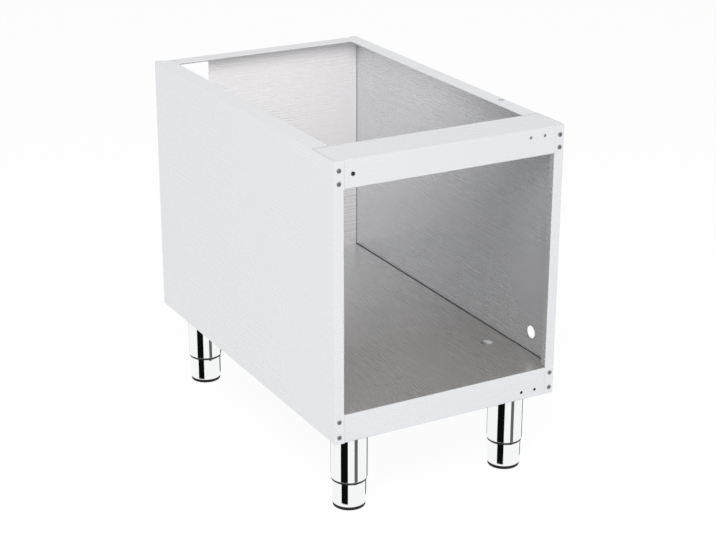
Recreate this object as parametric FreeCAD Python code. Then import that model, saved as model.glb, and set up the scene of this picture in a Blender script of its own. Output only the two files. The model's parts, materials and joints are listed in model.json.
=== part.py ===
import FreeCAD, Part
import math
import os

# Open base cabinet of folded stainless sheet on four levelling legs.
# Millimetres, +Z up. The front faces -Y, X runs to the right, and the origin lies on the ground
# under the middle of the cabinet.

# Body and ground clearance
body_width = 400.0
body_depth = 658.0
body_height = 450.0
ground_clearance = 138.0

# Sheet, folds, open seams, the tight seam at the stiles and the gap between sheets side by side
sheet = 1.0
fold_inner = 1.0
seam_gap = 0.5
stile_seam = 0.2
lay_gap = 0.3

# Side panels: front stile with its return, top flange and rear flange
stile_width = 17.0
stile_return = 12.0
top_flange = 30.0
rear_flange = 16.0

# Head rail across the front
head_rail_height = 44.5
head_rail_depth = 72.0
head_rail_lip = 12.0
head_rail_rear_lip = 18.0

# Floor tray, whose front edge turns down as the bottom rail, with an open joint along each side panel
floor_level = 47.5
floor_side_gap = 1.8
floor_lip = 25.0
floor_lip_start = 14.0

# Back panel's service cut-out, measured from the left side and the top
cutout_left = 33.0
cutout_width = 68.0
cutout_height = 66.0
cutout_below_top = 11.0
cutout_corner = 0.8

# Service holes in the right side panel, the floor and the right top flange
side_hole_radius = 10.5
side_hole_from_front = 66.0
side_hole_above_floor = 34.0
floor_hole_radius = 10.0
floor_hole_from_side = 44.0
floor_hole_from_front = 132.0
flange_hole_radius = 4.5
flange_hole_from_side = 9.0
flange_hole_from_front = 164.0

# Holes in the rails for a hinge at each right corner, and a push-in door buffer at the top left
hinge_hole_radius = 2.5
hinge_hole_from_side = 36.0
hinge_hole_pitch = 25.5
hinge_hole_from_edge = 13.0
buffer_hole_radius = 2.5
buffer_from_side = 31.0
buffer_from_top = 22.5
buffer_head_radius = 3.2
buffer_head_height = 1.0
buffer_chamfer = 0.3
buffer_barb = 0.6
buffer_barb_length = 3.0
buffer_play = 0.1

# Corner cleats behind the front frame
cleat_sheet = 2.0
cleat_lap = 9.0
cleat_leg_gap = 10.0
cleat_side_gap = 1.5
cleat_end_gap = 1.0

# Blind rivets and their places
rivet_head_radius = 3.8
rivet_head_height = 1.0
rivet_shank_radius = 2.0
rivet_bulb_radius = 2.9
rivet_bulb_length = 2.4
rivet_eye_radius = 1.1
rivet_play = 0.05
stile_rivet_from_side = 8.0
head_rivet_from_top = 15.2
head_rivet_from_lip = 9.3
foot_rivet_from_edge = 11.0
floor_rivet_from_bearer = 33.0
floor_rivet_count = 3

# Leg bearers: lipped channels under the floor
bearer_sheet = 1.5
bearer_lip = 14.0
bearer_margin = 14.0

# Relief in the right bearer, where a pipe through the floor's service hole turns out of the way
relief_margin = 5.0
relief_length = 120.0

# Legs: tube, plate and bolts
leg_from_side = 54.5
leg_from_end = 55.0
tube_radius = 29.0
tube_wall = 1.5
plate_thickness = 4.0
plate_corner = 8.0
plate_edge = 10.0
plate_gap = 1.5
bolt_radius = 3.0
bolt_play = 0.3
bolt_head_flats = 10.0
bolt_head_height = 4.0
bolt_end = 3.0
wrench_gap = 4.8
nut_height = 5.0
thread_play = 0.05

# Threaded insert in the tube's end
insert_depth = 25.0
insert_flange = 3.5
insert_flange_inset = 0.8
insert_play = 0.1

# Foot: barrel, stud and pad
foot_height = 45.4
foot_gap = 0.5
foot_travel = 25.0
barrel_radius = 27.0
barrel_wall = 2.0
barrel_round = 2.5
barrel_mouth = 16.0
stud_radius = 8.0
stud_head_radius = 12.0
stud_head_height = 5.0
stud_chamfer = 1.0
pad_show = 5.0
pad_inset = 1.0
pad_round = 1.0
pad_play = 0.3
pad_catch = 1.6
pad_catch_height = 3.0

# Places and sizes that follow from the ones above
up = FreeCAD.Vector(0, 0, 1)
right = FreeCAD.Vector(1, 0, 0)
back = FreeCAD.Vector(0, 1, 0)
origin = FreeCAD.Vector(0, 0, 0)
fold_outer = fold_inner + sheet
fold_run = 2 * fold_outer
floor_inset = sheet + floor_side_gap
inner_corner = fold_outer + lay_gap
stile_clear = stile_width + stile_seam
back_skin = body_depth - sheet
floor_rear = back_skin - sheet - lay_gap
head_rail_under = body_height - head_rail_height
bolt_offset = (tube_radius + bolt_head_flats / math.sqrt(3) + wrench_gap) / math.sqrt(2)
plate_half = bolt_offset + plate_edge
bottom_flange = leg_from_side - plate_half - plate_gap
floor_foot = leg_from_end - plate_half - plate_gap
back_foot = floor_foot - sheet
bearer_inner = leg_from_side + plate_half + bearer_margin
tube_foot_z = foot_height + foot_gap + insert_flange
tube_head_z = ground_clearance + sheet - plate_thickness
rivet_hole = rivet_shank_radius + rivet_play
rivet_reach = 4 * sheet + cleat_sheet
hole_reach = 2 * sheet


def point(from_left, from_front, from_under):
    """Place in the cabinet, measured from its left side, its front and the underside of its body."""
    x = from_left - body_width / 2
    y = from_front - body_depth / 2
    return FreeCAD.Vector(x, y, from_under + ground_clearance)


def block(low, high):
    """Box between two places measured as in point()."""
    a = point(*low)
    b = point(*high)
    return Part.makeBox(b.x - a.x, b.y - a.y, b.z - a.z, a)


def mirrored(shape):
    """The same piece on the other side of the cabinet."""
    return shape.mirror(origin, right)


def pierced(shape, places, direction, radius, reach):
    """`shape` with a round hole at each place, cut as far as `reach` to both sides."""
    for place in places:
        shape = shape.cut(Part.makeCylinder(radius, 2 * reach, place - direction * reach, direction))
    return shape


def rounded(box, direction, radius):
    """Box with round edges along one direction."""
    edges = [e for e in box.Edges if round(abs(e.tangentAt(e.FirstParameter).dot(direction)))]
    return box.makeFillet(radius, edges)


def folded_section(skin, thickness):
    """Face of a folded sheet. `skin` holds its outer skin's corners, and every fold turns the same way."""
    heading = [(skin[i + 1] - skin[i]).normalize() for i in range(len(skin) - 1)]
    axis = heading[0].cross(heading[1]).normalize()
    inward = [axis.cross(h) for h in heading]
    outer = [skin[0]]
    inner = [skin[0] + inward[0] * thickness]
    edges = []
    for i in range(1, len(skin) - 1):
        reach = fold_inner + thickness
        centre = skin[i] + (inward[i - 1] - heading[i - 1]) * reach
        middle = (skin[i] - centre).normalize()
        for run, radius in ((outer, reach), (inner, fold_inner)):
            start = centre - inward[i - 1] * radius
            end = centre - inward[i] * radius
            edges.append(Part.LineSegment(run[-1], start).toShape())
            edges.append(Part.Arc(start, centre + middle * radius, end).toShape())
            run.append(end)
    outer_end = skin[-1]
    inner_end = skin[-1] + inward[-1] * thickness
    closing = ((outer[-1], outer_end), (inner[-1], inner_end), (outer_end, inner_end), (inner[0], outer[0]))
    for start, end in closing:
        edges.append(Part.LineSegment(start, end).toShape())
    return Part.Face(Part.Wire(Part.__sortEdges__(edges)))


def folded(corners, sweep, thickness=sheet):
    """Folded sheet with its outer skin through `corners`, drawn out along `sweep`."""
    return folded_section([point(*c) for c in corners], thickness).extrude(sweep)


def profile(corners):
    """Straight edges through corners given as radius and height."""
    return Part.makePolygon([FreeCAD.Vector(r, 0, z) for r, z in corners]).Edges


def arc(centre, radius, start, end):
    """Round edge in radius and height, between two angles in degrees from the outward direction."""
    places = []
    for degrees in (start, (start + end) / 2, end):
        turn = math.radians(degrees)
        out = centre[0] + radius * math.cos(turn)
        places.append(FreeCAD.Vector(out, 0, centre[1] + radius * math.sin(turn)))
    return Part.Arc(*places).toShape()


def turned(edges, place):
    """Turned piece on an upright axis through `place`, from the edges of its profile."""
    solid = Part.Face(Part.Wire(Part.__sortEdges__(edges))).revolve(origin, up, 360)
    return solid.translated(FreeCAD.Vector(place.x, place.y, 0))


def hexagon(flats, height, place):
    """Upright hexagonal bar with its lower face at `place`."""
    corner = flats / math.sqrt(3)
    ring = [FreeCAD.Vector(corner, 0, 0)]
    for i in range(6):
        ring.append(FreeCAD.Rotation(up, 60 * (i + 1)).multVec(ring[0]))
    return Part.Face(Part.makePolygon(ring)).extrude(up * height).translated(place)


def rivet(place, outward, grip):
    """Blind rivet with its head seated at `place`, its bulb behind the `grip` of sheets, and an open eye."""
    tail = -grip - rivet_bulb_length
    rise = rivet_head_height
    sink = (rivet_head_radius ** 2 - rivet_eye_radius ** 2 - rise ** 2) / (2 * rise)
    rim_angle = math.degrees(math.atan2(sink, rivet_head_radius))
    eye_angle = math.degrees(math.atan2(sink + rise, rivet_eye_radius))
    dome = arc((0, -sink), math.hypot(rivet_head_radius, sink), rim_angle, eye_angle)
    rest = profile([(rivet_eye_radius, rise), (rivet_eye_radius, -grip), (0, -grip), (0, tail),
                    (rivet_bulb_radius, tail), (rivet_bulb_radius, -grip), (rivet_shank_radius, -grip),
                    (rivet_shank_radius, 0), (rivet_head_radius, 0)])
    made = turned([dome] + rest, origin)
    made.Placement = FreeCAD.Placement(place, FreeCAD.Rotation(up, outward))
    return made


# Places of rivets, holes, bolts and legs, shared by every piece that they pass through

def stile_rivets():
    """Places on the front skin of both stiles, two at each corner."""
    heights = (body_height - head_rivet_from_top, head_rail_under + head_rivet_from_lip,
               floor_level - foot_rivet_from_edge, foot_rivet_from_edge)
    sides = (stile_rivet_from_side, body_width - stile_rivet_from_side)
    return [point(side, 0, height) for side in sides for height in heights]


def floor_rivets():
    """Places on the back panel's rear skin, between the bearers and level with the floor's rear lip."""
    first = bearer_inner + floor_rivet_from_bearer
    pitch = (body_width - 2 * first) / (floor_rivet_count - 1)
    height = floor_level - floor_lip / 2
    return [point(first + i * pitch, back_skin, height) for i in range(floor_rivet_count)]


def hinge_holes(from_under):
    """Places of one hinge pair at the right end of a rail."""
    first = body_width - hinge_hole_from_side
    return [point(first - i * hinge_hole_pitch, 0, from_under) for i in range(2)]


def leg_bolts(leg):
    """Places of one leg's bolts, level with the underside of the body."""
    offsets = (-bolt_offset, bolt_offset)
    return [leg + right * across + back * along for across in offsets for along in offsets]


buffer_place = point(buffer_from_side, 0, body_height - buffer_from_top)
floor_hole_place = point(body_width - floor_hole_from_side, floor_hole_from_front, floor_level)
legs = {
    "front_left": point(leg_from_side, leg_from_end, 0),
    "front_right": point(body_width - leg_from_side, leg_from_end, 0),
    "rear_left": point(leg_from_side, body_depth - leg_from_end, 0),
    "rear_right": point(body_width - leg_from_side, body_depth - leg_from_end, 0),
}


def side_panel():
    """Left side panel: the wall with top, bottom and rear flanges, and a stile that is flat at the rails."""
    plan = [(rear_flange, body_depth, 0), (0, body_depth, 0), (0, 0, 0), (stile_width, 0, 0),
            (stile_width, stile_return, 0)]
    panel = folded(plan, up * body_height)
    past = stile_width + sheet
    for low, high in ((0, floor_level + seam_gap), (head_rail_under - seam_gap, body_height)):
        panel = panel.cut(block((fold_outer, sheet, low), (past, stile_return + sheet, high)))
        panel = panel.fuse(block((stile_width - fold_outer, 0, low), (stile_width, sheet, high)))
    last = body_depth - fold_outer - seam_gap
    first_top = head_rail_depth + seam_gap
    first_bottom = fold_outer + seam_gap
    shoulder = body_height - fold_run
    panel = panel.cut(block((-sheet, first_top, shoulder), (fold_outer, last, body_height)))
    panel = panel.cut(block((-sheet, first_bottom, 0), (fold_outer, last, fold_run)))
    top = [(top_flange, first_top, body_height), (0, first_top, body_height), (0, first_top, shoulder)]
    bottom = [(0, first_bottom, fold_run), (0, first_bottom, 0), (bottom_flange, first_bottom, 0)]
    panel = panel.fuse([folded(top, back * (last - first_top)), folded(bottom, back * (last - first_bottom))])
    return pierced(panel.removeSplitter(), stile_rivets(), back, rivet_hole, rivet_reach)


def right_side_panel():
    """Right side panel: as the left one, with a service hole in the wall and one in the top flange."""
    panel = mirrored(side_panel())
    service = point(body_width, side_hole_from_front, floor_level + side_hole_above_floor)
    small = point(body_width - flange_hole_from_side, flange_hole_from_front, body_height)
    panel = pierced(panel, [service], right, side_hole_radius, hole_reach)
    return pierced(panel, [small], up, flange_hole_radius, hole_reach)


def clear_of_stiles(rail, foot_low, foot_high, foot_depth):
    """Rail with both ends cut clear of the stiles: its front face, and its foot between two heights."""
    for low, high in ((0, stile_clear), (body_width - stile_clear, body_width)):
        rail = rail.cut(block((low, -sheet, -sheet), (high, sheet + seam_gap, body_height + sheet)))
        rail = rail.cut(block((low, -sheet, foot_low), (high, foot_depth + sheet, foot_high)))
    return rail


def head_rail():
    """Rail across the top of the front: front face, deep top face, and a lip at each edge."""
    end = sheet + seam_gap
    skin = [(end, head_rail_lip, head_rail_under), (end, 0, head_rail_under), (end, 0, body_height),
            (end, head_rail_depth, body_height), (end, head_rail_depth, body_height - head_rail_rear_lip)]
    rail = folded(skin, right * (body_width - 2 * end))
    rail = clear_of_stiles(rail, head_rail_under - sheet, body_height - fold_run, head_rail_lip)
    rail = pierced(rail, [buffer_place], back, buffer_hole_radius, hole_reach)
    return pierced(rail, hinge_holes(body_height - hinge_hole_from_edge), back, hinge_hole_radius, hole_reach)


def door_buffer():
    """Push-in buffer for a door: a flat head on the head rail, a neck in its hole and a barb behind it."""
    rim = buffer_head_height - buffer_chamfer
    neck = buffer_hole_radius - buffer_play
    shelf = -sheet - buffer_play
    tip = shelf - buffer_barb_length
    made = turned(profile([(0, buffer_head_height), (buffer_head_radius - buffer_chamfer, buffer_head_height),
                           (buffer_head_radius, rim), (buffer_head_radius, 0), (neck, 0), (neck, shelf),
                           (buffer_hole_radius + buffer_barb, shelf), (neck, tip), (0, tip),
                           (0, buffer_head_height)]), origin)
    made.Placement = FreeCAD.Placement(buffer_place, FreeCAD.Rotation(up, back * -1))
    return made


def floor_panel():
    """Floor tray: the front turns down as the bottom rail, and the sides and rear turn down as lips."""
    skin = [(floor_inset, floor_foot, 0), (floor_inset, 0, 0), (floor_inset, 0, floor_level),
            (floor_inset, floor_rear, floor_level), (floor_inset, floor_rear, floor_level - floor_lip)]
    tray = folded(skin, right * (body_width - 2 * floor_inset))
    tray = clear_of_stiles(tray, -sheet, floor_level - fold_run, floor_foot)
    last = floor_rear - fold_outer - seam_gap
    edge = floor_inset + fold_run
    lip_skin = [(floor_inset, floor_lip_start, floor_level - floor_lip),
                (floor_inset, floor_lip_start, floor_level), (edge, floor_lip_start, floor_level)]
    lip = folded(lip_skin, back * (last - floor_lip_start))
    for low, high in ((0, edge), (body_width - edge, body_width)):
        tray = tray.cut(block((low, floor_lip_start, floor_level - fold_run), (high, last, floor_level)))
    tray = tray.fuse([lip, mirrored(lip)]).removeSplitter()
    tray = pierced(tray, hinge_holes(hinge_hole_from_edge), back, hinge_hole_radius, hole_reach)
    tray = pierced(tray, floor_rivets(), back, rivet_hole, rivet_reach)
    return pierced(tray, [floor_hole_place], up, floor_hole_radius, hole_reach)


def back_panel():
    """Back panel inside the rear flanges, with a top and a bottom flange and the service cut-out."""
    skin = [(inner_corner, back_skin - back_foot, 0), (inner_corner, back_skin, 0),
            (inner_corner, back_skin, body_height), (inner_corner, back_skin - top_flange, body_height)]
    panel = folded(skin, right * (body_width - 2 * inner_corner))
    front = back_skin - top_flange - sheet
    top_notch = top_flange + seam_gap
    foot_notch = bottom_flange + seam_gap
    for notch, low, high in ((top_notch, body_height - fold_outer, body_height), (foot_notch, 0, fold_outer)):
        for start, end in ((0, notch), (body_width - notch, body_width)):
            panel = panel.cut(block((start, front, low), (end, body_depth, high)))
    cutout_top = body_height - cutout_below_top
    cutter = block((cutout_left, back_skin - hole_reach, cutout_top - cutout_height),
                   (cutout_left + cutout_width, body_depth, cutout_top))
    panel = panel.cut(rounded(cutter, back, cutout_corner))
    return pierced(panel, floor_rivets(), back, rivet_hole, rivet_reach)


def head_cleat():
    """Left head cleat: an angle behind the stile and the head rail, its leg under the rail's top face."""
    start = sheet + cleat_side_gap
    width = stile_clear + cleat_lap - start
    skin = [(start, sheet, head_rail_under + sheet + cleat_end_gap), (start, sheet, body_height - sheet),
            (start, head_rail_depth - cleat_leg_gap, body_height - sheet)]
    cleat = folded(skin, right * width, cleat_sheet)
    return pierced(cleat, stile_rivets(), back, rivet_hole, rivet_reach)


def foot_cleat():
    """Left foot cleat: a flat strip behind the stile and the bottom rail."""
    low = (sheet + cleat_side_gap, sheet, sheet + cleat_end_gap)
    high = (stile_clear + cleat_lap, sheet + cleat_sheet, floor_level - sheet - cleat_end_gap)
    return pierced(block(low, high), stile_rivets(), back, rivet_hole, rivet_reach)


def leg_bearer():
    """Left leg bearer: a lipped channel that stands on the bottom flanges and carries the floor."""
    outer = floor_inset + sheet + lay_gap
    start = sheet + cleat_sheet + rivet_bulb_length + lay_gap
    end = floor_rear - inner_corner
    roof = floor_level - sheet
    skin = [(outer + bearer_lip, start, roof), (outer, start, roof), (outer, start, sheet),
            (bearer_inner, start, sheet), (bearer_inner, start, roof),
            (bearer_inner - bearer_lip, start, roof)]
    bearer = folded(skin, back * (end - start), bearer_sheet)
    for leg in legs.values():
        bearer = pierced(bearer, leg_bolts(leg), up, bolt_radius + bolt_play, 2 * (sheet + bearer_sheet))
    return bearer


def right_leg_bearer():
    """Right leg bearer: as the left one, with its outer half cut away beside the floor's service hole."""
    clear = floor_hole_radius + relief_margin
    inner = body_width - floor_hole_from_side - clear
    start = floor_hole_from_front - clear
    relief = block((inner, start, 0), (body_width, start + relief_length, floor_level))
    return mirrored(leg_bearer()).cut(relief)


def leg_plate(leg):
    """Square plate at the top of a leg, under the bearer."""
    corner = leg + FreeCAD.Vector(-plate_half, -plate_half, sheet - plate_thickness)
    plate = rounded(Part.makeBox(2 * plate_half, 2 * plate_half, plate_thickness, corner), up, plate_corner)
    return pierced(plate, leg_bolts(leg), up, bolt_radius + bolt_play, 2 * plate_thickness)


def leg_bolt(place):
    """Hexagon bolt from below, through the plate and the bearer."""
    seat = place + up * (sheet - plate_thickness)
    shank = plate_thickness + bearer_sheet + nut_height + bolt_end
    head = hexagon(bolt_head_flats, bolt_head_height, seat - up * bolt_head_height)
    return head.fuse(Part.makeCylinder(bolt_radius, shank, seat)).removeSplitter()


def leg_nut(place):
    """Hexagon nut on the bearer's web."""
    seat = place + up * (sheet + bearer_sheet)
    nut = hexagon(bolt_head_flats, nut_height, seat)
    return pierced(nut, [seat], up, bolt_radius + thread_play, 2 * nut_height)


def leg_tube(leg):
    """Round tube welded under the plate."""
    bore = tube_radius - tube_wall
    return turned(profile([(bore, tube_foot_z), (tube_radius, tube_foot_z), (tube_radius, tube_head_z),
                           (bore, tube_head_z), (bore, tube_foot_z)]), leg)


def leg_insert(leg):
    """Threaded insert: a plug in the tube, with a flange under its end."""
    bore = stud_radius + thread_play
    plug = tube_radius - tube_wall - insert_play
    rim = tube_radius - insert_flange_inset
    low = tube_foot_z - insert_flange
    high = tube_foot_z + insert_depth
    return turned(profile([(bore, low), (rim, low), (rim, tube_foot_z), (plug, tube_foot_z), (plug, high),
                           (bore, high), (bore, low)]), leg)


def foot_barrel(leg):
    """Pressed foot: a shell of even wall, open at the bottom, with a hole for the stud in its roof."""
    hole = stud_radius + thread_play
    bore = barrel_radius - barrel_wall
    turn = (barrel_radius - barrel_round, pad_show + barrel_round)
    shelf = pad_show + barrel_wall
    roof = foot_height - barrel_wall
    upper = profile([(bore, turn[1]), (bore, roof), (hole, roof), (hole, foot_height),
                     (barrel_radius, foot_height), (barrel_radius, turn[1])])
    lower = profile([(turn[0], pad_show), (barrel_mouth, pad_show), (barrel_mouth, shelf), (turn[0], shelf)])
    rounds = [arc(turn, barrel_round, 0, -90), arc(turn, barrel_round - barrel_wall, 0, -90)]
    return turned(upper + lower + rounds, leg)


def foot_stud(leg):
    """Stud through the foot's roof, long enough to fill the insert over the whole travel."""
    seat = foot_height - barrel_wall
    tip = tube_foot_z + insert_depth + foot_travel
    return turned(profile([(0, seat - stud_head_height), (stud_head_radius, seat - stud_head_height),
                           (stud_head_radius, seat), (stud_radius, seat), (stud_radius, tip - stud_chamfer),
                           (stud_radius - stud_chamfer, tip), (0, tip), (0, seat - stud_head_height)]), leg)


def foot_pad(leg):
    """Snap-in pad: a base disc, a neck through the foot's mouth and a catch above it."""
    base = barrel_radius - pad_inset
    neck = barrel_mouth - pad_play
    catch = barrel_mouth + pad_catch
    shelf = pad_show + barrel_wall + pad_play
    crown = shelf + pad_catch_height
    return turned(profile([(0, 0), (base - pad_round, 0), (base, pad_round), (base, pad_show),
                           (neck, pad_show), (neck, shelf), (catch, shelf), (neck, crown), (0, crown),
                           (0, 0)]), leg)


def pieces():
    """Every piece of the cabinet by name."""
    bolts = [place for leg in legs.values() for place in leg_bolts(leg)]
    made = {
        "left_side_panel": side_panel(),
        "right_side_panel": right_side_panel(),
        "back_panel": back_panel(),
        "floor_panel": floor_panel(),
        "head_rail": head_rail(),
        "door_buffer": door_buffer(),
        "head_cleat_left": head_cleat(),
        "head_cleat_right": mirrored(head_cleat()),
        "foot_cleat_left": foot_cleat(),
        "foot_cleat_right": mirrored(foot_cleat()),
        "leg_bearer_left": leg_bearer(),
        "leg_bearer_right": right_leg_bearer(),
        "stile_rivets": Part.makeCompound([rivet(p, back * -1, sheet + cleat_sheet) for p in stile_rivets()]),
        "floor_rivets": Part.makeCompound([rivet(p, back, 2 * sheet + lay_gap) for p in floor_rivets()]),
        "leg_bolts": Part.makeCompound([leg_bolt(p) for p in bolts]),
        "leg_nuts": Part.makeCompound([leg_nut(p) for p in bolts]),
    }
    for name, leg in legs.items():
        made["leg_plate_" + name] = leg_plate(leg)
        made["leg_tube_" + name] = leg_tube(leg)
        made["leg_insert_" + name] = leg_insert(leg)
        made["foot_barrel_" + name] = foot_barrel(leg)
        made["foot_stud_" + name] = foot_stud(leg)
        made["foot_pad_" + name] = foot_pad(leg)
    return made


os.makedirs("parts", exist_ok=True)
for node, shape in pieces().items():
    shape.exportStep("parts/" + node + ".step")
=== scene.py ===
"""Looks of an open base cabinet in folded stainless sheet on four levelling legs.

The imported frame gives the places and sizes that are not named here.
"""

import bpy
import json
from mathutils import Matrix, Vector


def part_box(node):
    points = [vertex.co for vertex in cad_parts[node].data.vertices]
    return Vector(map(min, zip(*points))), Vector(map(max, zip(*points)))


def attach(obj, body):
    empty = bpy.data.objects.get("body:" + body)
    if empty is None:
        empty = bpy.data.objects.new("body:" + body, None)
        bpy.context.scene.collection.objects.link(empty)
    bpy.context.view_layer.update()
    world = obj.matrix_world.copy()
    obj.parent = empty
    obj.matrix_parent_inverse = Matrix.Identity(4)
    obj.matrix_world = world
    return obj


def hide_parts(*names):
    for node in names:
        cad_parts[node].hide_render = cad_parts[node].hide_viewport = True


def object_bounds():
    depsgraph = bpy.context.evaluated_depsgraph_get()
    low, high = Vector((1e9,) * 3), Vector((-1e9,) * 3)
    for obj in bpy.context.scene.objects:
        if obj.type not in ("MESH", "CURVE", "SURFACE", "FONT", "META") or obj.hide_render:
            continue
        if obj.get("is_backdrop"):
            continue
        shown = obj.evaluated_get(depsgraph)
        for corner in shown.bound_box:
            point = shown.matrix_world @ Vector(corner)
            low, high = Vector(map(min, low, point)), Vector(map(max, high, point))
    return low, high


bl_info = {
    "name": "Open stainless base cabinet",
    "version": (1, 0, 0),
    "blender": (4, 5, 0),
    "location": "3D View > Sidebar > Cabinet",
    "description": "Dresses the packed frame of a folded stainless base cabinet on levelling legs",
    "category": "Add Mesh",
}

import json
import math
from typing import NamedTuple

import bmesh
import bpy
from bpy.props import FloatProperty, FloatVectorProperty, PointerProperty
from mathutils import Matrix, Quaternion, Vector

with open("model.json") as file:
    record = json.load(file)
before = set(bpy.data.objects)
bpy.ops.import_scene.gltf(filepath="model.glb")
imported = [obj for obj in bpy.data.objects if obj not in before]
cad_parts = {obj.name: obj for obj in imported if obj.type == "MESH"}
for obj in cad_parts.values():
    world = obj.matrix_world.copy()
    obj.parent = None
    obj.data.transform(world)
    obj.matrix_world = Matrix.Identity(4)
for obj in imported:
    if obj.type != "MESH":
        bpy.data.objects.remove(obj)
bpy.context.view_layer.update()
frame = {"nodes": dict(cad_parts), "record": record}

MM = 0.001
MERGE_DISTANCE = 0.002 * MM
SHARP_ANGLE = math.radians(40)
RING_STEPS = 96
SMALL_RING_STEPS = 32
ROUND_SEGMENTS = 4
# Most values of a noise texture lie between these two
NOISE_LOW = 0.3
NOISE_HIGH = 0.7
# Strength of a mottle's relief, and its depth as a share of the mottle's size
MOTTLE_RELIEF = 0.3
MOTTLE_DEPTH = 0.05
# A face counts as lying where the square of its normal's rise is above this
LYING_RISE = 0.5
WHITE = (1, 1, 1, 1)
UP = Vector((0, 0, 1))
BACK = Vector((0, 1, 0))
LEGS = sorted(name[len("leg_tube_"):] for name in frame["nodes"] if name.startswith("leg_tube_"))


# Settings

def linear(srgb):
    """Linear colour with alpha from an sRGB hex value."""
    channels = [int(srgb[i:i + 2], 16) / 255 for i in (1, 3, 5)]
    straight = [c / 12.92 if c <= 0.04045 else ((c + 0.055) / 1.055) ** 2.4 for c in channels]
    return (*straight, 1.0)


def length(name, description, millimetres, decimals=4):
    """Length setting, given in millimetres and kept in metres."""
    return FloatProperty(name=name, description=description, default=millimetres * MM, min=0,
                         precision=decimals, unit="LENGTH")


def angle(name, description, degrees):
    """Angle setting, given in degrees and kept in radians."""
    return FloatProperty(name=name, description=description, default=math.radians(degrees), subtype="ANGLE")


def share(name, description, value):
    """Setting between none and all."""
    return FloatProperty(name=name, description=description, default=value, min=0, max=1, subtype="FACTOR")


def tint(name, description, srgb):
    """Colour setting from an sRGB hex value."""
    return FloatVectorProperty(name=name, description=description, default=linear(srgb), size=4,
                               min=0, max=1, subtype="COLOR")


def place(name, description, metres):
    """Place setting in the frame of the part."""
    return FloatVectorProperty(name=name, description=description, default=metres, size=3,
                               precision=4, subtype="XYZ_LENGTH", unit="LENGTH")


class CabinetFinishes(bpy.types.PropertyGroup):
    """Colours and textures of the metal, nylon and rubber."""
    sheet_colour: tint("Sheet", "Brushed sheet of the sides and rails", "#DFE0E3")
    # Painted shade: lying faces of the sheet, such as the top rim and the rail tops, are given this darker
    # colour.
    lying_painted_shade_colour: tint("Top rim", "Lying sheet of rim and rails, dulled by what is set down on it", "#D6D7DA")
    # Painted light: the back sheet is given a paler colour than the other sheets, for the light that falls
    # on the inside of the back.
    back_painted_light_colour: tint("Back sheet", "Paler brushed sheet of the back", "#F6F4F4")
    # Painted shade: the floor is painted dark over its front and turns to a paler colour towards the back.
    floor_front_shade_colour: tint("Scuffed floor", "Front of the floor, dulled by what slides on it", "#9E9C99")
    floor_back_colour: tint("Clean floor", "Back of the floor, where little is put down", "#DEDEDE")
    floor_shade_reach: share("Scuffed reach", "Share of the floor's depth that is scuffed all over", 0.3)
    sheet_metal: share("Sheet metal", "Metal look of the sheet beside the haze of grinding", 0.76)
    back_metal: share("Back metal", "Metal look of the back sheet beside the haze of grinding", 0.35)
    sheet_roughness: share("Sheet roughness", "Blur of the brushed sheet", 0.28)
    sheet_spread: share("Sheet spread", "How far grain and wiping shift the blur of the sheet", 0.05)
    line_shade: share("Line shade", "Brightness that the grinding lines keep", 0.97)
    grain_relief: share("Grain relief", "How strongly the grinding lines show as relief", 0.07)
    grain_stretch: share("Grain stretch", "How far the lines draw out reflections across the grain", 0.5)
    grain_width: length("Grain width", "Spacing of the grinding lines as drawn", 1.2)
    grain_length: length("Grain length", "Length of the grinding lines as drawn", 500)
    grain_depth: length("Grain depth", "Depth of the grinding lines", 0.006, 6)
    handling_size: length("Handling marks", "Size of the soft clouds that wiping leaves on the sheet", 140)
    mill_colour: tint("Mill finish", "Cold-rolled stainless as it leaves the mill", "#C4C6C7")
    mill_shade: tint("Mill finish shade", "Darker clouds in the mill finish", "#A9ABAD")
    mill_roughness: share("Mill roughness", "Blur of the mill finish", 0.44)
    mill_spread: share("Mill spread", "How far the clouds shift the blur of the mill finish", 0.06)
    mill_cloud: length("Mill clouds", "Size of the clouds in the mill finish", 18)
    polish_colour: tint("Polished steel", "Mirror-polished stainless", "#F6F7F7")
    polish_roughness: share("Polish roughness", "Blur of the polished legs", 0.045)
    polish_spread: share("Polish spread", "Share by which the mop's lines shift the blur", 0.4)
    polish_shade: share("Polish line shade", "Brightness that the mop's lines keep", 0.97)
    polish_line: length("Polish lines", "Spacing of the mop's lines round the legs as drawn", 1.6)
    # Partly painted shade: the rivet heads' dull grey is darkened.
    rivet_grey_and_shade_colour: tint("Rivet steel", "Drawn rivet heads", "#8F9194")
    # Partly painted shade: the mandrel's steel is painted near black for the shade in the rivet's eye.
    mandrel_steel_and_shade_colour: tint("Mandrel", "Snapped mandrel in the rivet's eye", "#3A3B3D")
    zinc_colour: tint("Zinc plate", "Bright zinc plating", "#B9BFC4")
    zinc_shade: tint("Zinc shade", "Darker spangle of the zinc plating", "#9EA3A3")
    zinc_spangle: length("Zinc spangle", "Size of the plating's mottle", 2.5)
    nylon_colour: tint("Nylon", "Moulded black nylon", "#17181A")
    rubber_colour: tint("Rubber", "Moulded black rubber", "#101011")
    moulded_grain: length("Moulded grain", "Spark-eroded grain of the moulded pieces as drawn", 0.8)
    weld_colour: tint("Weld", "Brushed-off weld bead", "#A29D96")
    weld_heat_colour: tint("Weld heat tint", "Straw tint that heat leaves beside a weld", "#A48C66")


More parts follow.
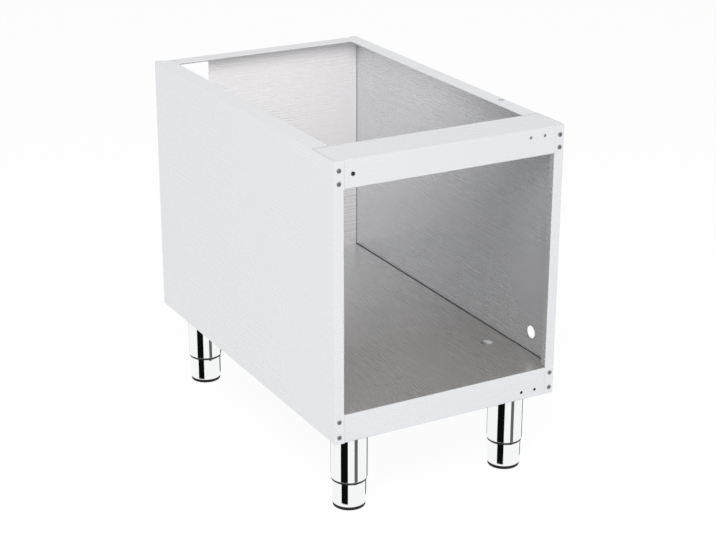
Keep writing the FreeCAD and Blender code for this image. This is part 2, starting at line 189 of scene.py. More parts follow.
class LegSizes(bpy.types.PropertyGroup):
    """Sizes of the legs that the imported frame's boxes do not give."""
    tube_wall: length("Tube wall", "Wall of the leg tube", 1.5)
    tube_lip: length("Tube lip", "Rounding of the tube's lower lip", 0.6)
    barrel_wall: length("Foot wall", "Wall of the pressed foot", 2.0)
    barrel_round: length("Foot round", "Rounding at the bottom of the foot", 2.5)
    barrel_shoulder: length("Foot shoulder", "Rounding at the top of the foot", 1.0)
    barrel_mouth: length("Foot mouth", "Radius of the opening that the pad snaps into", 16.0)
    stud_radius: length("Stud radius", "Radius over the thread", 8.0)
    stud_head: length("Stud head", "Height of the stud's head", 5.0)
    stud_chamfer: length("Stud chamfer", "Chamfer at the stud's tip", 1.0)
    thread_pitch: length("Thread pitch", "Rise of the thread in one turn", 2.0)
    thread_depth: length("Thread depth", "Height of the thread", 1.2)
    pad_show: length("Pad height", "Height of the pad that shows under the foot", 5.0)
    pad_neck: length("Pad neck", "Radius of the pad's neck", 15.7)
    pad_catch: length("Pad catch", "Width that the pad's catch stands out past its neck", 1.9)
    pad_catch_height: length("Pad catch height", "Height of the pad's catch", 3.0)
    pad_round: length("Pad round", "Rounding of the pad's base", 1.0)
    pad_groove: length("Pad grooves", "Width of the grip grooves under the pad", 2.0)
    pad_groove_depth: length("Pad groove depth", "Depth of the grip grooves under the pad", 0.8)
    weld_leg: length("Weld leg", "Reach of the weld bead along tube and plate", 3.0)
    weld_ripple: length("Weld ripple", "Height of the weld bead's ripples", 0.3)


class FastenerSizes(bpy.types.PropertyGroup):
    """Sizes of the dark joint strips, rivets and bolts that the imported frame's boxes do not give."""
    sheet: length("Sheet", "Thickness of the side panels", 1.0)
    # Black strips in the floor's side joints, which darken the joint lines.
    joint_strip_sink: length("Seal sink", "Depth of the floor seals below the floor", 0.6)
    joint_strip_height: length("Seal height", "Height of the floor seals", 4.0)
    joint_strip_start: length("Seal start", "Distance of the floor seals from the front", 14.0)
    rivet_head_height: length("Rivet head height", "Rise of the rivet's dome", 1.0)
    rivet_rim: length("Rivet rim", "Height of the rivet head's rim", 0.25)
    rivet_eye: length("Rivet eye", "Radius of the rivet's open eye", 1.1)
    mandrel_sink: length("Mandrel sink", "Depth of the snapped mandrel below the dome", 0.4)
    bolt_flats: length("Bolt flats", "Width across the flats of the bolt head", 10.0)
    bolt_head: length("Bolt head", "Height of the bolt head", 4.0)
    bolt_radius: length("Bolt radius", "Radius of the bolt's shank", 3.0)
    bolt_face: share("Bolt face", "Width of the head's flat face as a share of its flats", 0.93)


class StudioSettings(bpy.types.PropertyGroup):
    """Camera, floor and soft light."""
    camera_place: place("Camera place", "Where the camera stands", (-1.3239, -2.4313, 1.3365))
    camera_aim: place("Camera aim", "Point in the middle of the picture", (0.0215, 0.0, 0.2718))
    camera_roll: angle("Camera roll", "Lean of the camera", 0.12)
    camera_lens: FloatProperty(name="Lens", description="Focal length in millimetres on a 36 mm sensor",
                               default=88.08, min=1, unit="CAMERA")
    floor_radius: length("Floor radius", "Reach of the plain floor", 9000)
    floor_colour: tint("Floor", "Pale matt floor", "#F8F8F8")
    floor_white: share("Floor white", "Share of the floor that shows as plain background white", 0.95)
    fill_level: share("Fill light", "Level of the light from all round", 0.5)
    softbox_side: length("Softbox side", "Side of the square softbox overhead", 2500)
    softbox_height: length("Softbox height", "Height of the softbox above the floor", 2300)
    softbox_level: share("Softbox level", "Brightness of the softbox beside plain white", 0.5)
    key_heading: angle("Key light", "Heading of the key light, left of straight in front", 33)
    key_rise: angle("Key light rise", "Angle of the key light above the level", 40)
    key_distance: length("Key light distance", "Distance of the key light from the cabinet", 3200)
    key_side: length("Key light side", "Side of the square key light", 1600)
    key_level: share("Key light level", "Light that the key light gives a face turned to it", 0.96)
    flag_distance: length("Flag distance", "Distance of the flags from the middle of their leg", 80)
    flag_top: length("Flag top", "Height of the flags' upper edge above the ground", 108)
    flag_sink: length("Flag sink", "Depth of the dark flags' lower edge below the ground", 18)
    strip_foot: length("Grey strip foot", "Height of the grey strips' lower edge above the ground", 19)
    flag_heading: angle("Dark flag heading", "Heading of the dark flag, left of straight in front", 53)
    flag_width: angle("Dark flag width", "Half the width of the dark flag", 19)
    rim_heading: angle("Rim flag heading", "Heading of the dark flag that outlines a leg's far side", -112.5)
    rim_width: angle("Rim flag width", "Half the width of the rim flag", 17.5)
    flag_colour: tint("Dark flag", "Black card", "#0C0C0C")
    strip_heading: angle("Grey strip heading", "Heading of the grey strip, left of straight in front", -8.5)
    strip_width: angle("Grey strip width", "Half the width of the grey strip", 9)
    edge_heading: angle("Edge strip heading", "Heading of the strip that outlines a leg's near side", 177.5)
    edge_width: angle("Edge strip width", "Half the width of the edge strip", 10)
    strip_colour: tint("Grey strip", "Grey card", "#666666")


# Materials

def add(tree, kind, inputs=None, **settings):
    """Add one node with its settings, and set or link its inputs by name or number."""
    node = tree.nodes.new(kind)
    for name, value in settings.items():
        setattr(node, name, value)
    for key, value in (inputs or {}).items():
        if isinstance(value, bpy.types.NodeSocket):
            tree.links.new(value, node.inputs[key])
        else:
            node.inputs[key].default_value = value
    return node


def surface(tree, **inputs):
    """End a material in one principled shader. Underscores in the names stand for spaces."""
    named = {key.replace("_", " "): value for key, value in inputs.items()}
    shader = add(tree, "ShaderNodeBsdfPrincipled", named)
    add(tree, "ShaderNodeOutputMaterial", {"Surface": shader.outputs[0]})


class Skin(NamedTuple):
    """Colour and metal look of a sheet, which may change to a second colour between two depths."""
    colour: tuple
    metal: float
    rear_colour: tuple = None
    rear_span: tuple = None


def brushed_stainless(tree, look, upright, flat, flat_axis):
    """Satin sheet ground with a fine belt: blurred reflections and faint lines along the grain."""
    # The real lines lie about 0.1 mm apart, too fine for the picture, so they are drawn coarser.
    spot = add(tree, "ShaderNodeTexCoord").outputs["Object"]
    axes = add(tree, "ShaderNodeSeparateXYZ", {"Vector": spot}).outputs
    normal = add(tree, "ShaderNodeNewGeometry").outputs["True Normal"]
    upward = add(tree, "ShaderNodeSeparateXYZ", {"Vector": normal}).outputs["Z"]
    level = add(tree, "ShaderNodeMath", {0: upward, 1: upward}, operation="MULTIPLY").outputs[0]
    lying = add(tree, "ShaderNodeMath", {0: level, 1: LYING_RISE}, operation="GREATER_THAN").outputs[0]
    along = add(tree, "ShaderNodeMath", {0: axes["X"], 1: axes["Y"]}, operation="ADD").outputs[0]
    across = add(tree, "ShaderNodeMix", {0: lying, 2: axes["Z"], 3: axes[flat_axis]}).outputs[0]
    lines = add(tree, "ShaderNodeCombineXYZ", {"X": along, "Y": across}).outputs[0]
    pitch = (1 / look.grain_length, 1 / look.grain_width, 0)
    drawn = add(tree, "ShaderNodeVectorMath", {0: lines, 1: pitch}, operation="MULTIPLY").outputs[0]
    grain = add(tree, "ShaderNodeTexNoise", {"Vector": drawn, "Scale": 1, "Detail": 3}).outputs[0]
    clouds = {"Vector": spot, "Scale": 1 / look.handling_size, "Detail": 2}
    wiped = add(tree, "ShaderNodeTexNoise", clouds).outputs[0]
    bed = flat.colour
    # On the floor, the flat colour turns from painted shade at the front to the paler rear colour at the
    # back.
    if flat.rear_colour is not None:
        near, far = flat.rear_span
        depth = add(tree, "ShaderNodeMapRange", {"Value": axes["Y"], "From Min": near, "From Max": far})
        ends = {0: depth.outputs[0], 6: flat.colour, 7: flat.rear_colour}
        bed = add(tree, "ShaderNodeMix", ends, data_type="RGBA").outputs[2]
    metal = flat.metal
    if upright.metal != flat.metal:
        metal = add(tree, "ShaderNodeMix", {0: lying, 2: upright.metal, 3: flat.metal}).outputs[0]
    # Lying faces take the flat skin's colour as painted shade, darkest at a floor's front; upright faces
    # keep the upright colour, which on the back is painted paler as painted light.
    painted_facing_colour = add(tree, "ShaderNodeMix", {0: lying, 6: upright.colour, 7: bed}, data_type="RGBA").outputs[2]
    shade = add(tree, "ShaderNodeMapRange", {"Value": grain, "To Min": look.line_shade, "To Max": 1.0})
    colour = add(tree, "ShaderNodeHueSaturation", {"Color": painted_facing_colour, "Value": shade.outputs[0]})
    mixed = add(tree, "ShaderNodeMath", {0: grain, 1: wiped}, operation="ADD")
    rough = add(tree, "ShaderNodeMapRange", {
        "Value": mixed.outputs[0], "From Min": 2 * NOISE_LOW, "From Max": 2 * NOISE_HIGH,
        "To Min": look.sheet_roughness - look.sheet_spread,
        "To Max": look.sheet_roughness + look.sheet_spread})
    relief = {"Height": grain, "Strength": look.grain_relief, "Distance": look.grain_depth}
    bump = add(tree, "ShaderNodeBump", relief)
    sideways = (1, 0, 0) if flat_axis == "X" else (0, 1, 0)
    streak = add(tree, "ShaderNodeMix", {0: lying, 4: (0, 0, 1), 5: sideways}, data_type="VECTOR")
    surface(tree, Base_Color=colour.outputs[0], Metallic=metal, Roughness=rough.outputs[0],
            Anisotropic=look.grain_stretch, Tangent=streak.outputs[1], Normal=bump.outputs[0])


def mill_stainless(tree, look):
    """Cold-rolled 2B sheet: a dull even grey with soft clouds and no lines."""
    spot = add(tree, "ShaderNodeTexCoord").outputs["Object"]
    size = {"Vector": spot, "Scale": 1 / look.mill_cloud, "Detail": 4}
    cloud = add(tree, "ShaderNodeTexNoise", size).outputs[0]
    ends = {0: cloud, 6: look.mill_shade, 7: look.mill_colour}
    colour = add(tree, "ShaderNodeMix", ends, data_type="RGBA")
    rough = add(tree, "ShaderNodeMapRange", {
        "Value": cloud, "From Min": NOISE_LOW, "From Max": NOISE_HIGH,
        "To Min": look.mill_roughness - look.mill_spread, "To Max": look.mill_roughness + look.mill_spread})
    surface(tree, Base_Color=colour.outputs[2], Metallic=1.0, Roughness=rough.outputs[0])


def polished_stainless(tree, look):
    """Tube turned against a polishing mop: a clear mirror with the mop's faint lines round it."""
    spot = add(tree, "ShaderNodeTexCoord").outputs["Object"]
    height = add(tree, "ShaderNodeSeparateXYZ", {"Vector": spot}).outputs["Z"]
    spacing = {"W": height, "Scale": 1 / look.polish_line, "Detail": 3}
    lines = add(tree, "ShaderNodeTexNoise", spacing, noise_dimensions="1D").outputs[0]
    rough = add(tree, "ShaderNodeMapRange", {
        "Value": lines, "From Min": NOISE_LOW, "From Max": NOISE_HIGH,
        "To Min": look.polish_roughness * (1 - look.polish_spread),
        "To Max": look.polish_roughness * (1 + look.polish_spread)})
    shade = add(tree, "ShaderNodeMapRange", {"Value": lines, "To Min": look.polish_shade, "To Max": 1.0})
    colour = add(tree, "ShaderNodeHueSaturation", {"Color": look.polish_colour, "Value": shade.outputs[0]})
    surface(tree, Base_Color=colour.outputs[0], Metallic=1.0, Roughness=rough.outputs[0])


def mottled(tree, dark, light, size, low, high, **inputs):
    """Surface whose colour and roughness shift together in a fine mottle."""
    spot = add(tree, "ShaderNodeTexCoord").outputs["Object"]
    mottle = add(tree, "ShaderNodeTexNoise", {"Vector": spot, "Scale": 1 / size, "Detail": 3}).outputs[0]
    colour = add(tree, "ShaderNodeMix", {0: mottle, 6: dark, 7: light}, data_type="RGBA")
    rough = add(tree, "ShaderNodeMapRange", {"Value": mottle, "From Min": NOISE_LOW, "From Max": NOISE_HIGH,
                                             "To Min": low, "To Max": high})
    relief = {"Height": mottle, "Strength": MOTTLE_RELIEF, "Distance": size * MOTTLE_DEPTH}
    bump = add(tree, "ShaderNodeBump", relief)
    surface(tree, Base_Color=colour.outputs[2], Roughness=rough.outputs[0], Normal=bump.outputs[0],
            **inputs)


def darker(colour, keep):
    """The same colour at a share of its brightness."""
    return (*(channel * keep for channel in colour[:3]), 1.0)


def rivet_steel(tree, look):
    """Drawn steel: a dull grey dome with darker specks, its grey darkened as painted shade."""
    mottled(tree, darker(look.rivet_grey_and_shade_colour, keep=0.7), look.rivet_grey_and_shade_colour, look.zinc_spangle,
            low=0.3, high=0.45, Metallic=1.0)


def mandrel_steel(tree, look):
    """Snapped wire end: a rough break in the rivet's eye, painted near black as painted shade of the eye."""
    mottled(tree, darker(look.mandrel_steel_and_shade_colour, keep=0.5), look.mandrel_steel_and_shade_colour, look.moulded_grain,
            low=0.5, high=0.7, Metallic=1.0)


def zinc_plate(tree, look):
    """Bright zinc plating: a bluish silver with a fine mottle."""
    mottled(tree, look.zinc_shade, look.zinc_colour, look.zinc_spangle, low=0.22, high=0.36, Metallic=1.0)


def black_nylon(tree, look):
    """Moulded nylon: black with a soft sheen and a fine spark-eroded grain."""
    mottled(tree, darker(look.nylon_colour, keep=0.7), look.nylon_colour, look.moulded_grain,
            low=0.4, high=0.55)


def black_rubber(tree, look):
    """Moulded rubber: a deep matt black that hardly shines."""
    mottled(tree, darker(look.rubber_colour, keep=0.7), look.rubber_colour, look.moulded_grain,
            low=0.7, high=0.85)


def weld_bead(tree, look):
    """Weld bead wiped clean: grey steel with straw heat tint."""
    mottled(tree, look.weld_heat_colour, look.weld_colour, look.zinc_spangle * 2,
            low=0.25, high=0.45, Metallic=1.0)


def finish(name, maker, *choices):
    """The material of that name, made on first use."""
    made = bpy.data.materials.get(name)
    if made is None:
        made = bpy.data.materials.new(name)
        made.use_nodes = True
        made.node_tree.nodes.clear()
        maker(made.node_tree, bpy.context.scene.cabinet_finishes, *choices)
    return made


def brushed_finish(node):
    """The brushed sheet of a node, with its grain along the sheet's longer side."""
    look = bpy.context.scene.cabinet_finishes
    sheet = Skin(look.sheet_colour, look.sheet_metal)
    # Painted shade: the lying faces get the darker colour.
    rim = Skin(look.lying_painted_shade_colour, look.sheet_metal)
    low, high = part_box(node)
    if node == "back_panel":
        # Painted light: the back's upright faces are painted paler.
        hazy = Skin(look.back_painted_light_colour, look.back_metal)
        return finish("Brushed stainless, hazy back", brushed_stainless, hazy, rim, "Y")
    if node == "floor_panel":
        # The floor's painted shade is full over this share of its depth, then fades towards the back.
        start = low.y + look.floor_shade_reach * (high.y - low.y)
        shaded = Skin(look.floor_front_shade_colour, look.sheet_metal, look.floor_back_colour, (start, high.y))
        return finish("Brushed stainless, scuffed floor", brushed_stainless, sheet, shaded, "X")
    wide = high.x - low.x > high.y - low.y
    name = "Brushed stainless, grain across" if wide else "Brushed stainless, grain to the back"
    return finish(name, brushed_stainless, sheet, rim, "Y" if wide else "X")


def slot_finish(slot, node=None):
    """The material of a record slot, which for a brushed sheet depends on the node."""
    if slot == "brushed_stainless":
        return brushed_finish(node)
    names = {
        "mill_stainless": ("Mill finish stainless", mill_stainless),
        "polished_stainless": ("Mirror polished stainless", polished_stainless),
        "rivet_steel": ("Drawn rivet steel", rivet_steel),
        "zinc_plated_steel": ("Bright zinc plate", zinc_plate),
        "black_nylon": ("Moulded black nylon", black_nylon),
        "black_rubber": ("Moulded black rubber", black_rubber),
    }
    return finish(*names[slot])


# Shapes

def turn(bm, outline, closed=False, steps=RING_STEPS):
    """Turn an outline of radius and height corners about the upright axis."""
    ring = [bm.verts.new((radius, 0, height)) for radius, height in outline]
    after = ring[1:] + ring[:1] if closed else ring[1:]
    edges = [bm.edges.new(ends) for ends in zip(ring, after)]
    bmesh.ops.spin(bm, geom=ring + edges, axis=UP, angle=math.tau, steps=steps, use_merge=True)
    bmesh.ops.remove_doubles(bm, verts=bm.verts, dist=MERGE_DISTANCE)


def round_ring(bm, radius, height, size, segments=ROUND_SEGMENTS):
    """Round off the edge of a turned shape at that radius and height."""
    def on_ring(vert):
        return abs(vert.co.xy.length - radius) + abs(vert.co.z - height) < 2 * MERGE_DISTANCE

    edges = [edge for edge in bm.edges if all(on_ring(vert) for vert in edge.verts)]
    if not edges:
        raise RuntimeError(f"no edge to round at radius {radius:.4f} and height {height:.4f}")
    bmesh.ops.bevel(bm, geom=edges, offset=size, offset_type="OFFSET", segments=segments, profile=0.5,
                    affect="EDGES", clamp_overlap=True, material=-1)


def cut(bm, spot, normal):
    """Cut away what lies past a plane and close the cut with one face."""
    every = bm.verts[:] + bm.edges[:] + bm.faces[:]
    made = bmesh.ops.bisect_plane(bm, geom=every, dist=MERGE_DISTANCE / 10, plane_co=spot, plane_no=normal,
                                  clear_outer=True)
    rim = [part for part in made["geom_cut"] if isinstance(part, bmesh.types.BMEdge)]
    bmesh.ops.holes_fill(bm, edges=rim)


def spread(bm, matrices):
    """Copy the shape to each place, and take away the first one."""
    master = bm.verts[:] + bm.edges[:] + bm.faces[:]
    first = bm.verts[:]
    for matrix in matrices:
        copied = bmesh.ops.duplicate(bm, geom=master)["geom"]
        verts = [part for part in copied if isinstance(part, bmesh.types.BMVert)]
        bmesh.ops.transform(bm, matrix=matrix, verts=verts)
    bmesh.ops.delete(bm, geom=first, context="VERTS")


def finished(name, bm, body, materials, nodes=()):
    """Make the shape an object that rides on a body, wears the given materials and stands for nodes."""
    bmesh.ops.recalc_face_normals(bm, faces=bm.faces)
    mesh = bpy.data.meshes.new(name)
    bm.to_mesh(mesh)
    bm.free()
    mesh.shade_smooth()
    mesh.set_sharp_from_angle(angle=SHARP_ANGLE)
    for material in materials:
        mesh.materials.append(material)
    piece = bpy.data.objects.new(name, mesh)
    bpy.context.scene.collection.objects.link(piece)
    piece.modifiers.new("Even normals", "WEIGHTED_NORMAL").keep_sharp = True
    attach(piece, body)
    if nodes:
        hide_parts(*nodes)
    return piece


def stand(bm, node):
    """Move an upright shape from the origin to the middle of a node, seen from above."""
    low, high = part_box(node)
    middle = (low + high) / 2
    bmesh.ops.translate(bm, vec=(middle.x, middle.y, 0), verts=bm.verts)


def radius_of(node):
    """Radius of a turned node."""
    low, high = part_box(node)
    return (high.x - low.x) / 2


def solids_of(node):
    """Lowest and highest corner of each separate solid in a node."""
    bm = bmesh.new()
    bm.from_mesh(frame["nodes"][node].data)
    bmesh.ops.remove_doubles(bm, verts=bm.verts, dist=MERGE_DISTANCE)
    left = set(bm.verts)
    corners = []
    while left:
        reached = [left.pop()]
        for vert in reached:
            fresh = {edge.other_vert(vert) for edge in vert.link_edges} & left
            left -= fresh
            reached.extend(fresh)
        spots = [vert.co.copy() for vert in reached]
        corners.append((Vector(map(min, *spots)), Vector(map(max, *spots))))
    bm.free()
    return corners


# Pieces

class CABINET_OT_sheets(bpy.types.Operator):
    """Give every piece of the frame its finish"""
    bl_idname = "base_cabinet.sheets"
    bl_label = "Sheet finishes"

    def execute(self, context):
        for part in frame["record"]["subparts"]:
            node = part["node"]
            frame["nodes"][node].data.materials[0] = slot_finish(part["material_slot"], node)
        return {"FINISHED"}


class CABINET_OT_floor_joint_strips(bpy.types.Operator):
    """Model the dark strips in the open joints between the floor and the side panels"""
    bl_idname = "base_cabinet.floor_seals"
    bl_label = "Floor seals"

    def execute(self, context):
        sizes = context.scene.cabinet_fasteners
        low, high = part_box("floor_panel")
        top = high.z - sizes.joint_strip_sink
        for side, edge in (("left", low.x), ("right", high.x)):
            near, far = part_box(side + "_side_panel")
            wall = near.x + sizes.sheet if side == "left" else far.x - sizes.sheet
            front = low.y + sizes.joint_strip_start
            middle = Vector(((edge + wall) / 2, (front + high.y) / 2, top - sizes.joint_strip_height / 2))
            size = (abs(wall - edge), high.y - front, sizes.joint_strip_height)
            bm = bmesh.new()
            spot = Matrix.Translation(middle) @ Matrix.Diagonal((*size, 1))
            bmesh.ops.create_cube(bm, size=1, matrix=spot)
            finished("floor_joint_strip_" + side, bm, "cabinet", [slot_finish("black_rubber")])
        return {"FINISHED"}


class CABINET_OT_leg_tubes(bpy.types.Operator):
    """Model the polished leg tubes with a rounded lower lip"""
    bl_idname = "base_cabinet.leg_tubes"
    bl_label = "Leg tubes"

    def execute(self, context):
        sizes = context.scene.cabinet_legs
        for leg in LEGS:
            node = "leg_tube_" + leg
            low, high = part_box(node)
            radius = radius_of(node)
            bore = radius - sizes.tube_wall
            bm = bmesh.new()
            turn(bm, [(bore, low.z), (radius, low.z), (radius, high.z), (bore, high.z)], closed=True)
            round_ring(bm, radius, low.z, sizes.tube_lip)
            round_ring(bm, bore, low.z, sizes.tube_lip / 2)
            stand(bm, node)
            finished("polished_tube_" + leg, bm, "cabinet",
                     [slot_finish("polished_stainless")], [node])
        return {"FINISHED"}


class CABINET_OT_weld_beads(bpy.types.Operator):
    """Model the rippled weld beads between the leg tubes and their plates"""
    bl_idname = "base_cabinet.weld_beads"
    bl_label = "Weld beads"
    ripples = 48
    ripple_steps = 5
    crown_cuts = 3

    def execute(self, context):
        sizes = context.scene.cabinet_legs
        for leg in LEGS:
            node = "leg_tube_" + leg
            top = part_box(node)[1].z
            radius = radius_of(node)
            inside = radius - sizes.tube_wall / 2
            reach = sizes.weld_leg - sizes.weld_ripple
            bm = bmesh.new()
            turn(bm, [(inside, top), (inside, top - reach), (radius, top - reach), (radius + reach, top)],
                 closed=True, steps=self.ripples * self.ripple_steps)
            crown = [edge for edge in bm.edges
                     if edge.calc_length() > reach and edge.verts[0].co.z != edge.verts[1].co.z]
            bmesh.ops.subdivide_edges(bm, edges=crown, cuts=self.crown_cuts)
            for vert in bm.verts:
                out = vert.co.xy.length - radius
                down = top - vert.co.z
                if out > MERGE_DISTANCE and down > MERGE_DISTANCE:
                    turned = math.atan2(vert.co.y, vert.co.x) * self.ripples / 2
                    lift = sizes.weld_ripple * (1 + abs(math.sin(turned)))
                    vert.co.xy *= 1 + lift / vert.co.xy.length
                    vert.co.z -= lift
            stand(bm, node)
            finished("weld_bead_" + leg, bm, "cabinet",
                     [finish("Weld bead", weld_bead)])
        return {"FINISHED"}


class CABINET_OT_foot_barrels(bpy.types.Operator):
    """Model the pressed and polished feet"""
    bl_idname = "base_cabinet.foot_barrels"
    bl_label = "Feet"
    outer_segments = 10
    inner_segments = 6

    def execute(self, context):
        sizes = context.scene.cabinet_legs
        wall = sizes.barrel_wall
        for leg in LEGS:
            node = "foot_barrel_" + leg
            low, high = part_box(node)
            radius = radius_of(node)
            bore = radius - wall
            mouth = sizes.barrel_mouth
            hole = sizes.stud_radius
            bm = bmesh.new()
            turn(bm, [(mouth, low.z), (radius, low.z), (radius, high.z), (hole, high.z),
                      (hole, high.z - wall), (bore, high.z - wall), (bore, low.z + wall),
                      (mouth, low.z + wall)], closed=True)
            round_ring(bm, radius, low.z, sizes.barrel_round, self.outer_segments)
            round_ring(bm, bore, low.z + wall, sizes.barrel_round - wall, self.inner_segments)
            round_ring(bm, radius, high.z, sizes.barrel_shoulder)
            stand(bm, node)
            finished("polished_foot_" + leg, bm, "foot_" + leg,
                     [slot_finish("polished_stainless")], [node])
        return {"FINISHED"}


class CABINET_OT_foot_studs(bpy.types.Operator):
    """Model the threaded studs that raise and lower the feet"""
    bl_idname = "base_cabinet.foot_studs"
    bl_label = "Threaded studs"
    steps_a_turn = 32
    lead_turns = 1.5
    flat_share = 1 / 8

    def execute(self, context):
        sizes = context.scene.cabinet_legs
        for leg in LEGS:
            node = "foot_stud_" + leg
            low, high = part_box(node)
            bm = bmesh.new()
            self.thread(bm, sizes, low.z + sizes.stud_head, high.z)
            head = radius_of(node)
            seat = low.z + sizes.stud_head
            turn(bm, [(0, low.z), (head, low.z), (head, seat), (0, seat)])
            round_ring(bm, head, low.z, sizes.stud_chamfer / 2)
            stand(bm, node)
            finished("threaded_stud_" + leg, bm, "foot_" + leg,
                     [slot_finish("zinc_plated_steel")], [node])
        return {"FINISHED"}

    def thread(self, bm, sizes, seat, tip):
        """Wind one tooth up the stud, then cut both ends square and chamfer the tip."""
        pitch = sizes.thread_pitch
        crest = sizes.stud_radius
        root = crest - sizes.thread_depth
        flat = pitch * self.flat_share
        rise = (pitch - 2 * flat) / 2
        start = seat - self.lead_turns * pitch
        tooth = [(root, 0), (root, flat), (crest, flat + rise), (crest, 2 * flat + rise), (root, pitch)]
        row = [bm.verts.new((radius, 0, start + height)) for radius, height in tooth]
        edges = [bm.edges.new(ends) for ends in zip(row, row[1:])]
        turns = math.ceil((tip - start) / pitch) + 1
        bmesh.ops.spin(bm, geom=row + edges, axis=UP, angle=turns * math.tau,
                       steps=turns * self.steps_a_turn, dvec=UP * pitch / self.steps_a_turn)
        bmesh.ops.remove_doubles(bm, verts=bm.verts, dist=MERGE_DISTANCE)
        cut(bm, UP * seat, -UP)
        cut(bm, UP * tip, UP)
        for vert in bm.verts:
            limit = crest - max(0, vert.co.z - tip + sizes.stud_chamfer)
            if vert.co.xy.length > limit:
                vert.co.xy *= limit / vert.co.xy.length


class CABINET_OT_foot_pads(bpy.types.Operator):
    """Model the snap-in rubber pads with grip grooves underneath"""
    bl_idname = "base_cabinet.foot_pads"
    bl_label = "Foot pads"
    groove_places = (2, 4, 6)

    def execute(self, context):
        sizes = context.scene.cabinet_legs
        for leg in LEGS:
            node = "foot_pad_" + leg
            low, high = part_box(node)
            base = radius_of(node)
            groove = sizes.pad_groove
            roof = low.z + sizes.pad_groove_depth
            show = low.z + sizes.pad_show
            shelf = high.z - sizes.pad_catch_height
            under = [(0, low.z)]
            for number in self.groove_places:
                near = number * groove
                under += [(near, low.z), (near, roof), (near + groove, roof), (near + groove, low.z)]
            bm = bmesh.new()
            turn(bm, under + [(base, low.z), (base, show), (sizes.pad_neck, show), (sizes.pad_neck, shelf),
                              (sizes.pad_neck + sizes.pad_catch, shelf), (sizes.pad_neck, high.z),
                              (0, high.z)])
            round_ring(bm, base, low.z, sizes.pad_round)
            stand(bm, node)
            finished("rubber_pad_" + leg, bm, "pad_" + leg,
                     [slot_finish("black_rubber")], [node])
        return {"FINISHED"}


class CABINET_OT_rivets(bpy.types.Operator):
    """Model the domed blind rivets with their snapped mandrels"""
    bl_idname = "base_cabinet.rivets"
    bl_label = "Blind rivets"
    shank_share = 0.53
    shoulder_share = 0.62
    crown_share = 0.93
    break_share = 0.9
    break_slope = 0.25
    shoulder_round = 0.2

    def execute(self, context):
        sizes = context.scene.cabinet_fasteners
        for node, outward in (("stile_rivets", -BACK), ("floor_rivets", BACK)):
            solids = solids_of(node)
            bm = bmesh.new()
            self.head(bm, sizes, solids[0])
            turned = UP.rotation_difference(outward).to_matrix().to_4x4()
            spread(bm, [Matrix.Translation(self.seat(sizes, solid, outward)) @ turned for solid in solids])
            finished("domed_" + node, bm, "cabinet",
                     [slot_finish("rivet_steel"), finish("Snapped mandrel", mandrel_steel)], [node])
        return {"FINISHED"}

    def seat(self, sizes, solid, outward):
        """Middle of the rivet head's underside."""
        low, high = solid
        middle = (low + high) / 2
        face = high.y if outward.y > 0 else low.y
        return Vector((middle.x, face - outward.y * sizes.rivet_head_height, middle.z))

    def head(self, bm, sizes, solid):
        """Whole rivet, head up, with its seat at the origin."""
        low, high = solid
        rim = (high.x - low.x) / 2
        rise = sizes.rivet_head_height
        eye = sizes.rivet_eye
        snapped = rise - sizes.mandrel_sink
        tail = rise - (high.y - low.y)
        shank = rim * self.shank_share
        shoulder = (rim + eye) * self.shoulder_share
        crown = rise * self.crown_share
        broken = (eye * self.break_share, snapped - eye * self.break_slope)
        turn(bm, [(0, snapped), broken, (eye, rise), (shoulder, crown), (rim, sizes.rivet_rim), (rim, 0),
                  (shank, 0), (shank, tail), (0, tail)], steps=SMALL_RING_STEPS)
        round_ring(bm, shoulder, crown, rim * self.shoulder_round)
        for face in bm.faces:
            spot = face.calc_center_median()
            if spot.xy.length < eye and spot.z > 0:
                face.material_index = 1


class CABINET_OT_leg_bolts(bpy.types.Operator):
    """Model the leg bolts with chamfered hexagon heads"""
    bl_idname = "base_cabinet.leg_bolts"
    bl_label = "Leg bolts"
    chamfer_cuts = 24
    chamfer_angle = math.radians(30)
    tip_round = 1 / 6

    def execute(self, context):
        sizes = context.scene.cabinet_fasteners
        solids = solids_of("leg_bolts")
        low, high = solids[0]
        bm = bmesh.new()
        self.head(bm, sizes)
        shank = sizes.bolt_radius
        reach = high.z - low.z
        turn(bm, [(0, sizes.bolt_head), (shank, sizes.bolt_head), (shank, reach), (0, reach)],
             steps=SMALL_RING_STEPS)
        round_ring(bm, shank, reach, shank * self.tip_round)
        places = []
        for near, far in solids:
            middle = (near + far) / 2
            places.append(Matrix.Translation((middle.x, middle.y, near.z)))
        spread(bm, places)
        finished("hexagon_leg_bolts", bm, "cabinet",
                 [slot_finish("zinc_plated_steel")], ["leg_bolts"])
        return {"FINISHED"}

    def head(self, bm, sizes):
        """Hexagon head on the origin, with its lower corners turned off at an angle."""
        corner = sizes.bolt_flats / math.sqrt(3)
        bmesh.ops.create_cone(bm, cap_ends=True, segments=6, radius1=corner, radius2=corner,
                              depth=sizes.bolt_head, matrix=Matrix.Translation(UP * sizes.bolt_head / 2))
        for step in range(self.chamfer_cuts):
            heading = step * math.tau / self.chamfer_cuts
            out = Vector((math.cos(heading), math.sin(heading), 0))
            normal = out * math.sin(self.chamfer_angle) - UP * math.cos(self.chamfer_angle)
            cut(bm, out * sizes.bolt_face * sizes.bolt_flats / 2, normal)


# Studio

